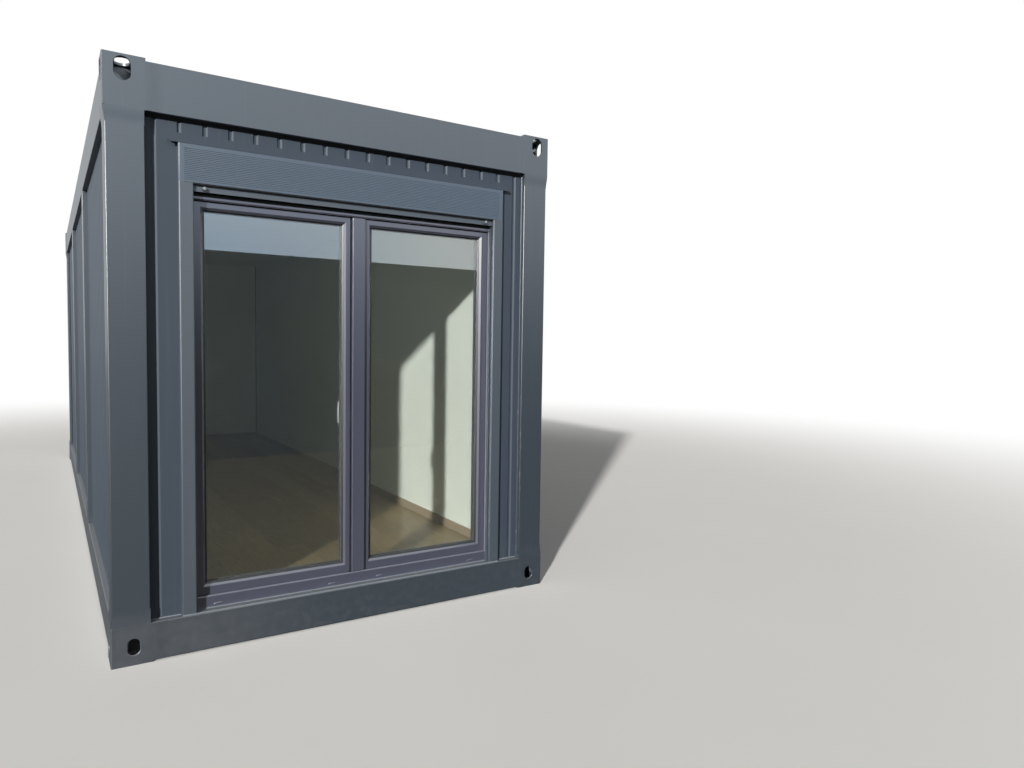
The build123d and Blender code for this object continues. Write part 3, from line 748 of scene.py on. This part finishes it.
class CABIN_OT_walls(bpy.types.Operator):
    """Coat the wall panels, draw the sealant at the front wall's foot and add the black head
    strips, which paint the shade under the top rails
    """

    bl_idname = "cabin.walls"
    bl_label = "Walls"

    def execute(self, context):
        finish, trim = context.scene.cabin_finish, context.scene.cabin_trim
        names = [f"side_wall_{side}" for side in SIDES] + [f"front_wall_{side}" for side in SIDES]
        names += ["rear_wall", "front_wall_over_door"]
        finish_nodes(names, two_sided_panel(finish))
        finish_nodes(["shutter_box_flashing"], panel_coat(finish))
        post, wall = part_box("corner_post_front_left"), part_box("front_wall_left")
        guide, frame_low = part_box("shutter_guide_left"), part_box("door_frame")[0]
        spans = (
            (post[1][0], guide[0][0], wall[0][1]),
            (-guide[0][0], -post[1][0], wall[0][1]),
            (guide[0][0], -guide[0][0], guide[0][1]),
            (guide[1][0], -guide[1][0], frame_low[1]),
        )
        level, height, ripple, back = wall[0][2], 5.0 * MM, 0.1, (0.0, 1.0, 0.0)
        lines = [
            bead((start, y, level), (end, y, level), back, UP, trim.sealant_width, height, ripple)
            for start, end, y in spans
        ]
        skin = sealant_skin(finish)
        piece("foot_sealant", joined(lines), skin, CABIN, smooth=60.0)
        # Black rubber strips under the top rails: they paint the shade of the joint there black.
        out, drop = trim.head_shade_strip_out, trim.head_shade_strip_drop
        head = wall[1][2]
        seals = []
        for sign, face in ((-1.0, wall[0][1]), (1.0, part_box("rear_wall")[1][1])):
            ends = (post[1][0], face, head), (-post[1][0], face, head)
            seals.append(filler(*ends, (0.0, 0.0, -1.0), (0.0, sign, 0.0), drop, out, 0.0))
        piece("head_shade_strips", joined(seals), rubber_for_seals_and_shade(finish), CABIN, smooth=60.0)
        return {"FINISHED"}


class CABIN_OT_shutter(bpy.types.Operator):
    """Coat the roller shutter's box, guides and raised curtain, and cap its stops"""

    bl_idname = "cabin.shutter"
    bl_label = "Roller shutter"

    def execute(self, context):
        finish = context.scene.cabin_finish
        box_coat = shutter_coat("Powder_coated_steel_box", finish.box_coat, finish)
        guide_coat = shutter_coat("Powder_coated_aluminium", finish.guide_coat, finish)
        finish_nodes(["shutter_box"], box_coat)
        finish_nodes(["shutter_curtain", "shutter_guide_left", "shutter_guide_right"], guide_coat)
        edge_radius = 0.7 * MM
        round_edges(["shutter_box", "shutter_guide_left", "shutter_guide_right"], edge_radius)
        box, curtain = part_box("shutter_box")[0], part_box("shutter_curtain")[0]
        stop_inset, stop_drop, sunk = 118.0 * MM, 21.0 * MM, 0.5 * MM
        radius, rise = 8.5 * MM, 2.5 * MM
        reach = -box[0] - stop_inset
        centres = [(x, curtain[1] - sunk, box[2] - stop_drop) for x in (-reach, reach)]
        caps = domes(centres, FRONT, ACROSS, radius, radius, rise, power=2.0, rings=6, sides=28)
        piece("stop_caps", caps, bare_aluminium(finish), CABIN, smooth=60.0)
        self.brushes(finish, box, curtain)
        return {"FINISHED"}

    def brushes(self, finish, box, curtain):
        """Two black brushes: one in the box's mouth before the curtain, one hung against the frame.
        They also paint the shade under the box and behind the curtain black.
        """
        edge, lip_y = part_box("shutter_guide_right")[0][0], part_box("door_frame")[0][1]
        thick, mouth_height, mouth_back = 3.0 * MM, 5.0 * MM, 14.0 * MM
        hung_foot, hung_head, arris = box[2] - 52.0 * MM, box[2] - 9.0 * MM, 0.5 * MM
        corners = (
            (
                (-edge, box[1] + thick, box[2] - mouth_height),
                (edge, curtain[1] + mouth_back, box[2]),
            ),
            ((-edge, lip_y - thick, hung_foot), (edge, lip_y, hung_head)),
        )
        # These two black slabs paint the shade under the box and behind the curtain.
        shape = joined([pane_slab(*pair, arris) for pair in corners])
        piece("brush_seals_painted_shade", shape, rubber_for_seals_and_shade(finish), CABIN)


class CABIN_OT_door(bpy.types.Operator):
    """Finish the door frame and its two leaves, and add panes, spacers, seals and drain caps; a
    black strip paints the shade under the frame's head, a grey gasket a highlight on its lip
    """

    bl_idname = "cabin.door"
    bl_label = "Door"

    def execute(self, context):
        finish, trim = context.scene.cabin_finish, context.scene.cabin_trim
        foil, rubber, glass = door_foil(finish), rubber_for_seals_and_shade(finish), float_glass()
        dark, glossy = spacer_plastic(), glazing_lip(finish)
        finish_nodes(["door_frame", "left_leaf", "right_leaf", "meeting_strip"], foil)
        finish_nodes(["door_handle"], white_plastic())
        hinge_coat = shutter_coat("Powder_coated_hinges", finish.guide_coat, finish)
        finish_nodes(["door_hinges"], hinge_coat)
        round_edges(["door_frame", "left_leaf", "right_leaf"], trim.foil_edge)
        for side, body in (("left", LEFT_DOOR), ("right", RIGHT_DOOR)):
            self.glass_unit(side, body, trim, glass, dark, rubber, glossy)
        self.frame_trim(trim, foil, rubber, gasket_with_painted_highlight(finish))
        leaf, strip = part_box("left_leaf"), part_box("meeting_strip")
        edge, face, arris = leaf[1][0], leaf[0][1], 0.5 * MM
        reach, depth = 6.5 * MM, 3.5 * MM
        flap = pane_slab(
            (edge - arris, face + arris, strip[0][2]),
            (edge + reach, face + depth, strip[1][2]), arris,
        )
        piece("meeting_seal", flap, foil, LEFT_DOOR)
        return {"FINISHED"}

    def glass_unit(self, side, body, trim, glass, dark, rubber, glossy):
        """Two panes with a spacer between them, and a seal on each side of the leaf's pocket."""
        low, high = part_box(f"{side}_glass")
        rectangle = low[0], high[0], low[2], high[2]
        arris = 0.4 * MM
        outer = pane_slab(low, (high[0], low[1] + trim.pane, high[2]), arris)
        inner = pane_slab((low[0], high[1] - trim.pane, low[2]), high, arris)
        panes = piece(f"{side}_glass_panes", joined([outer, inner]), glass, body)
        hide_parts(f"{side}_glass")
        gap_low, gap_high = low[1] + trim.pane, high[1] - trim.pane
        depth = gap_high - gap_low
        bar, rim = 2.0 * MM, 0.5 * MM
        spacer = [
            (0.0, 0.0), (bar - rim, 0.0), (bar, rim),
            (bar, depth - rim), (bar - rim, depth), (0.0, depth),
        ]
        spacer = upright_ring(spacer, *rectangle, gap_low)
        piece(f"{side}_glass_spacer", spacer, dark, body)
        wide, tall = trim.seal_width, trim.seal_height
        back = [(0.0, 0.0), (wide, 0.0), (wide * 0.7, tall * 0.7), (wide * 0.3, tall), (0.0, tall)]
        back = upright_ring(back, *rectangle, high[1])
        piece(f"{side}_inner_glazing_seal", back, rubber, body)
        lip = np.array([
            (2.6, 0.0), (2.4, -0.9), (0.4, -2.7), (-2.6, -4.9), (-6.0, -6.9), (-8.2, -6.2),
            (-0.5, 0.6),
        ])
        lip = upright_ring(lip * MM, *rectangle, low[1])
        piece(f"{side}_glazing_lip", lip, glossy, body)

    def frame_trim(self, trim, foil, rubber, gasket):
        """The seals behind the frame's lip, a black strip at its head that paints the shade under
        the lip, the gasket on its inner edge, whose pale grey also paints a highlight, and the
        drain caps.
        """
        low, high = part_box("door_frame")
        back = low[1] + trim.lip_thickness
        # The seals fill this share of the gap between the lip and the leaves.
        share = 0.7
        filled = (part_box("left_leaf")[0][1] - back) * share
        edge, foot, head = high[0] - trim.side_lip, low[2] + trim.foot_lip, high[2] - trim.head_lip
        inner = -edge, edge, foot, head
        seal = [(0.0, 0.0), (-7.0 * MM, 0.0), (-6.0 * MM, filled), (-2.0 * MM, filled)]
        piece("rebate_seal", upright_ring(seal, *inner, back), rubber, CABIN)
        soft = np.array([(0.0, 3.5), (1.2, 4.5), (1.8, 9.0), (1.2, 13.5), (0.0, 14.5)]) * MM
        # The pale grey gasket also paints a highlight along the lip's inner edge.
        piece("lip_gasket_painted_highlight", upright_ring(soft, *inner, low[1]), gasket, CABIN)
        # A black strip hung at the head behind the lip: it paints the shade under the lip black.
        drop, rise, arris = 6.0 * MM, 2.0 * MM, 0.5 * MM
        hanging = pane_slab((-edge, back, head - drop), (edge, back + filled, head + rise), arris)
        piece("head_rebate_shade_strip", hanging, rubber, CABIN)
        level, far, near, height = low[2] + 18.0 * MM, 730.0 * MM, 138.0 * MM, 3.5 * MM
        centres = [(x, low[1], level) for x in (-far, -near, near, far)]
        caps = domes(centres, FRONT, ACROSS, trim.cap_length / 2, trim.cap_width / 2, height)
        piece("drain_caps", caps, foil, CABIN, smooth=60.0)


class CABIN_OT_room(bpy.types.Operator):
    """Finish the floor, the skirting and the ceiling of the room"""

    bl_idname = "cabin.room"
    bl_label = "Room"

    def execute(self, context):
        finish = context.scene.cabin_finish
        finish_nodes(["floor_covering"], vinyl_planks(finish))
        finish_nodes(["floor_deck"], deck_board())
        finish_nodes(["floor_joists"], joist_primer())
        finish_nodes(["skirting"], skirting_foil(finish))
        finish_nodes(["ceiling"], inner_coat(finish))
        return {"FINISHED"}


class CABIN_OT_roof(bpy.types.Operator):
    """Coat the roof sheet and add its screws"""

    bl_idname = "cabin.roof"
    bl_label = "Roof"

    def execute(self, context):
        finish, trim = context.scene.cabin_finish, context.scene.cabin_trim
        finish_nodes(["roof"], roof_coat(finish))
        low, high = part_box("roof")
        sheet, inset = low[2] + 1.5 * MM, 20.0 * MM
        first, last, pitch = low[1] + 300.0 * MM, high[1] - 200.0 * MM, 500.0 * MM
        along = np.arange(first, last, pitch)
        centres = [(x, y, sheet) for x in (low[0] + inset, high[0] - inset) for y in along]
        washer, height = trim.screw * 1.6, 3.0 * MM
        screws = domes(centres, UP, ACROSS, washer, washer, height, power=2.0, rings=4, sides=12)
        piece("roof_screws", screws, zinc_screws(), CABIN, smooth=60.0)
        return {"FINISHED"}


class CABIN_OT_stage(bpy.types.Operator):
    """Make the camera, the low light, the pale floor, the dark screen and the white background"""

    bl_idname = "cabin.stage"
    bl_label = "Studio"

    def execute(self, context):
        stage = context.scene.cabin_stage
        self.camera(context, stage)
        self.floor(context, stage)
        self.flag(context, stage)
        self.background(context, stage)
        self.key_light(context, stage)
        context.scene.view_settings.view_transform = "Standard"
        return {"FINISHED"}

    def camera(self, context, stage):
        """The camera at the photograph's place, in metres from the middle of the footprint."""
        data = bpy.data.cameras.new("camera")
        data.lens = stage.lens
        data.sensor_width = 36.0
        made = bpy.data.objects.new("camera", data)
        made.location = (-1.4443, CAD_LOW[1] - 3.7667, 1.5477)
        made.rotation_euler = Euler([math.radians(angle) for angle in (86.77, -0.8731, -32.6804)])
        context.scene.collection.objects.link(made)
        context.scene.camera = made

    def studio_object(self, context, name, points, faces, material):
        """A mesh object for the stage."""
        mesh = bpy.data.meshes.new(name)
        mesh.from_pydata(points.reshape(-1, 3).tolist(), [], faces)
        mesh.materials.append(material)
        made = bpy.data.objects.new(name, mesh)
        context.scene.collection.objects.link(made)
        return made

    def floor(self, context, stage):
        """A round floor, far wider than the cabin, worked out as one ring of points and one face:
        pale to the camera, white far out, and dark to all that mirrors it or is lit by it."""
        radius, corners, sunk = 60.0, 96, 1.0 * MM
        turn = np.arange(corners) * 2 * math.pi / corners
        ring = [radius * np.cos(turn), radius * np.sin(turn), np.full(corners, -sunk)]
        material, tree = new_material("Matt_studio_floor")
        place, _ = object_place(tree)
        cloud = noise(tree, place, 900.0, 2.0)
        tone = mixed(tree, cloud, shade(stage.floor, 0.97), tuple(stage.floor))
        seen = add(tree, "ShaderNodeLightPath").outputs["Is Camera Ray"]
        tone = mixed(tree, seen, shade(stage.floor, 0.13), tone)
        inputs = {"Base Color": tone, "Roughness": 0.9, "IOR": 1.2}
        matt = add(tree, "ShaderNodeBsdfPrincipled", inputs)
        white = add(tree, "ShaderNodeEmission", {"Color": linear("#FFFFFF"), "Strength": 1.0})
        far = add(tree, "ShaderNodeVectorMath", {0: place}, operation="LENGTH").outputs["Value"]
        far = product(tree, ramp(tree, far, 5.0, 14.0), seen)
        inputs = {0: far, 1: matt.outputs[0], 2: white.outputs[0]}
        surface(tree, add(tree, "ShaderNodeMixShader", inputs))
        faces = [list(range(corners))]
        made = self.studio_object(context, "studio_floor", np.stack(ring, -1), faces, material)

    def flag(self, context, stage):
        """A dark screen that only reflections see, as a photographer puts in front of glass: two
        rows of points straight across in front of the door end, the upper one at the screen's
        height."""
        reach, columns, ahead = 40.0, 9, 5.8
        x, z = np.linspace(-reach, reach, columns), np.array([0.0, stage.flag_height])
        points = np.stack(np.broadcast_arrays(x[None, :], CAD_LOW[1] - ahead, z[:, None]), -1)
        material, tree = new_material("Dark_screen_cloth")
        place, _ = object_place(tree)
        cloud = noise(tree, place, 2600.0, 3.0)
        tone = mixed(tree, cloud, linear("#4A423C"), linear("#4A555E"))
        sharp = add(tree, "ShaderNodeLightPath").outputs["Is Singular Ray"]
        level = ramp(tree, sharp, 0.0, 1.0, 0.4, 1.0)
        surface(tree, add(tree, "ShaderNodeEmission", {"Color": tone, "Strength": level}))
        made = self.studio_object(context, "studio_flag", points, quads(2, columns), material)
        made.visible_camera = False
        made.visible_diffuse = False
        made.visible_shadow = False

    def background(self, context, stage):
        """White to the camera, a cool bright sky to mirrors and glass, soft light for the rest."""
        world = bpy.data.worlds.new("studio")
        world.use_nodes = True
        tree = world.node_tree
        tree.nodes.clear()
        path = add(tree, "ShaderNodeLightPath").outputs
        mirror = maths(tree, "MAXIMUM", path["Is Glossy Ray"], path["Is Transmission Ray"])
        seen = maths(tree, "MAXIMUM", path["Is Camera Ray"], mirror)
        strength = ramp(tree, seen, 0.0, 1.0, stage.sky, 1.0)
        toward = axis(tree, add(tree, "ShaderNodeTexCoord").outputs["Generated"], "Y")
        tone = mixed(tree, ramp(tree, toward, -1.0, -0.86), linear("#CDE4FF"), linear("#F6FBFF"))
        tone = mixed(tree, ramp(tree, toward, -0.3, 0.5), tone, linear("#FAFDFF"))
        tone = mixed(tree, mirror, linear("#FFFFFF"), tone)
        sky = add(tree, "ShaderNodeBackground", {"Color": tone, "Strength": strength})
        add(tree, "ShaderNodeOutputWorld", {"Surface": sky.outputs[0]})
        context.scene.world = world

    def key_light(self, context, stage):
        """A low, wide, even light from the front left, as the photograph has it."""
        data = bpy.data.lights.new("key_light", "SUN")
        data.energy = stage.key
        data.angle = stage.spread
        data.color = (1.0, 0.985, 0.955)
        made = bpy.data.objects.new("key_light", data)
        toward = Vector((1.0, 0.97, -0.47))
        made.rotation_euler = toward.to_track_quat("-Z", "Y").to_euler()
        made.location = (-8.0, CAD_LOW[1] - 8.0, 5.0)
        context.scene.collection.objects.link(made)


STEPS = ("steel_frame", "walls", "shutter", "door", "room", "roof", "stage")


class CABIN_PT_steps(bpy.types.Panel):
    """Lists the steps that dress the cabin"""

    bl_idname = "CABIN_PT_steps"
    bl_label = "Container office cabin"
    bl_space_type = "VIEW_3D"
    bl_region_type = "UI"
    bl_category = "Cabin"

    def draw(self, context):
        for step in STEPS:
            self.layout.operator(f"cabin.{step}")


CLASSES = (
    CabinFinish, CabinTrim, CabinStage, CABIN_OT_steel_frame, CABIN_OT_walls, CABIN_OT_shutter,
    CABIN_OT_door, CABIN_OT_room, CABIN_OT_roof, CABIN_OT_stage, CABIN_PT_steps,
)


def register():
    """Register the classes and hang their settings on the scene."""
    for each in CLASSES:
        bpy.utils.register_class(each)
    bpy.types.Scene.cabin_finish = PointerProperty(type=CabinFinish)
    bpy.types.Scene.cabin_trim = PointerProperty(type=CabinTrim)
    bpy.types.Scene.cabin_stage = PointerProperty(type=CabinStage)


def unregister():
    """Take the settings and the classes away again."""
    del bpy.types.Scene.cabin_stage
    del bpy.types.Scene.cabin_trim
    del bpy.types.Scene.cabin_finish
    for each in reversed(CLASSES):
        bpy.utils.unregister_class(each)


def main():
    """Dress the cabin step by step."""
    register()
    for step in STEPS:
        getattr(bpy.ops.cabin, step)()


if __name__ == "__main__":
    main()
